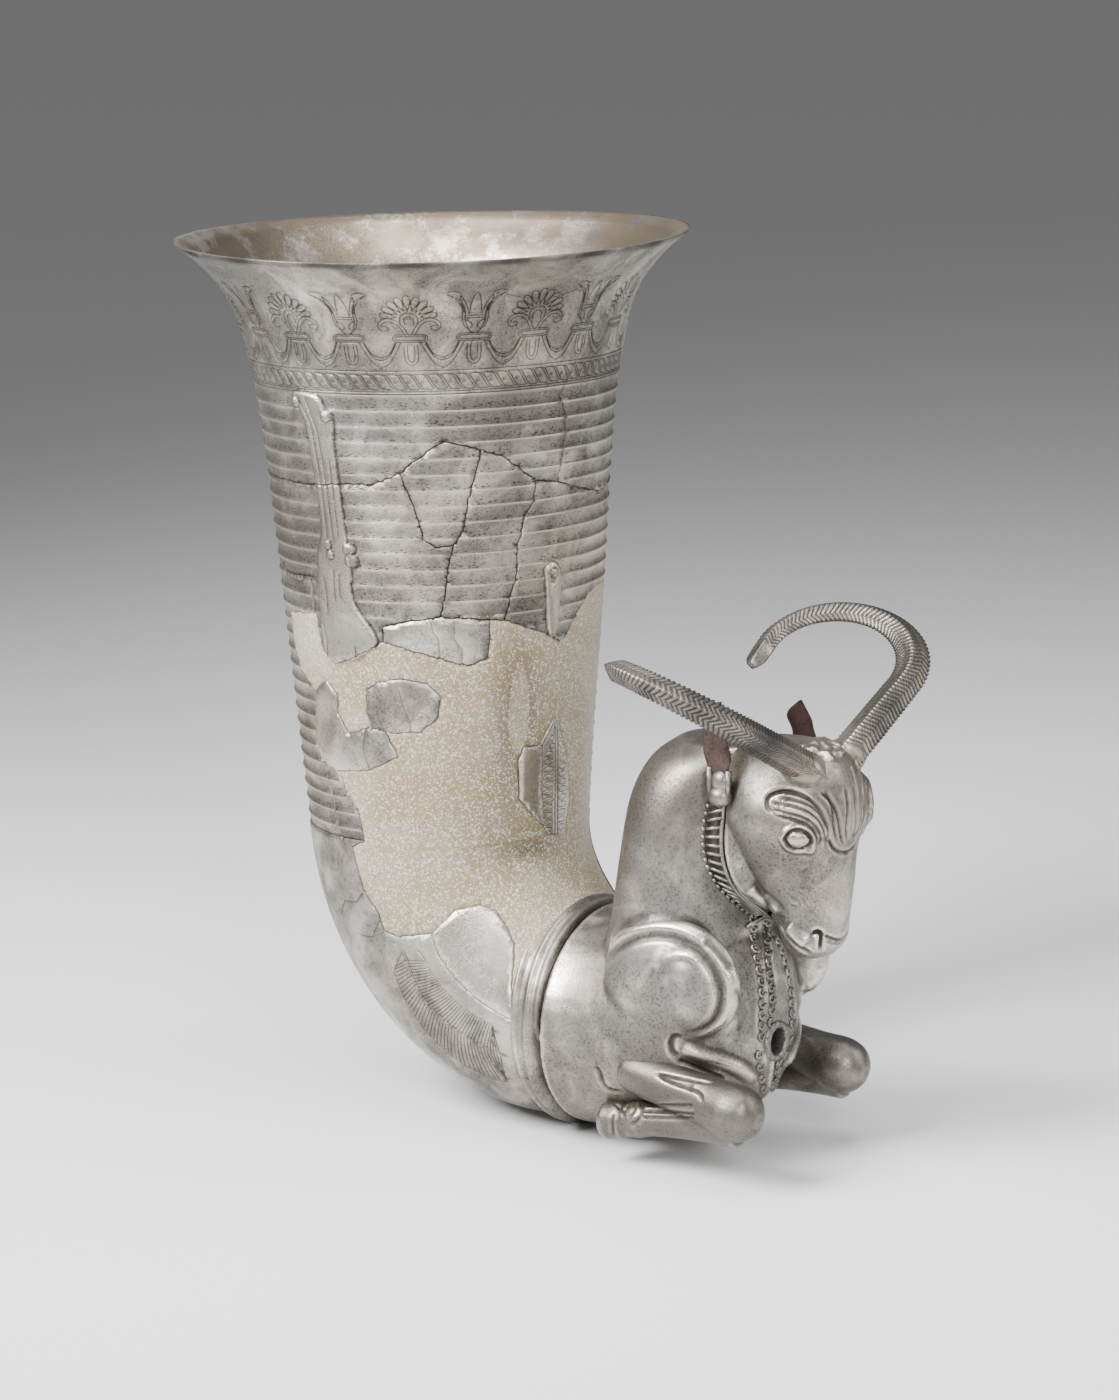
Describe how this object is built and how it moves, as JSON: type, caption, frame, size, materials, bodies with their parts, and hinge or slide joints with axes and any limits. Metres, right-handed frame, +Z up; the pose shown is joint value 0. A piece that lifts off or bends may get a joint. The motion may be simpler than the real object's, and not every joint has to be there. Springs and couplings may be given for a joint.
{
  "type": "rhyton drinking cup",
  "caption": "Silver drinking horn with a flared, fluted cup that bends forward into the forepart of an ibex with curled horns and a spout in its chest.",
  "frame": {"origin": "underside of the collar, where a stand carries the cup", "axes": "+Z up out of the mouth, +X forward the way the animal faces, +Y to the animal's left"},
  "size_m": [0.2211, 0.1496, 0.2575],
  "materials": {
    "silver": "aged silver, satin, with grey tarnish in the grooves",
    "tarnished_silver": "silver with blue-grey tarnish and bright edges",
    "corroded_silver": "rough purple-brown corrosion on silver",
    "resin_fill": "speckled matte fill, beige, white and grey"
  },
  "bodies": {
    "root": {"belly_sherd": "silver", "bend_wall": "silver", "body_left": "silver", "body_right": "silver", "bright_wall_sherd": "silver", "collar_ring": "silver", "ear_left": "corroded_silver", "ear_right": "corroded_silver", "fill_panel": "resin_fill", "flank_sherd": "silver", "foreleg_left": "silver", "foreleg_right": "silver", "head_left": "silver", "head_right": "silver", "horn_left": "tarnished_silver", "horn_right": "tarnished_silver", "joint_sleeve": "silver", "middle_wall": "silver", "middle_wall_sherd": "silver", "rear_wall": "silver", "small_wall_sherd": "silver", "spout_ring": "silver", "tail_braid_sherd": "silver", "thigh_sherd": "silver", "upper_wall": "silver"}
  },
  "joints": []
}
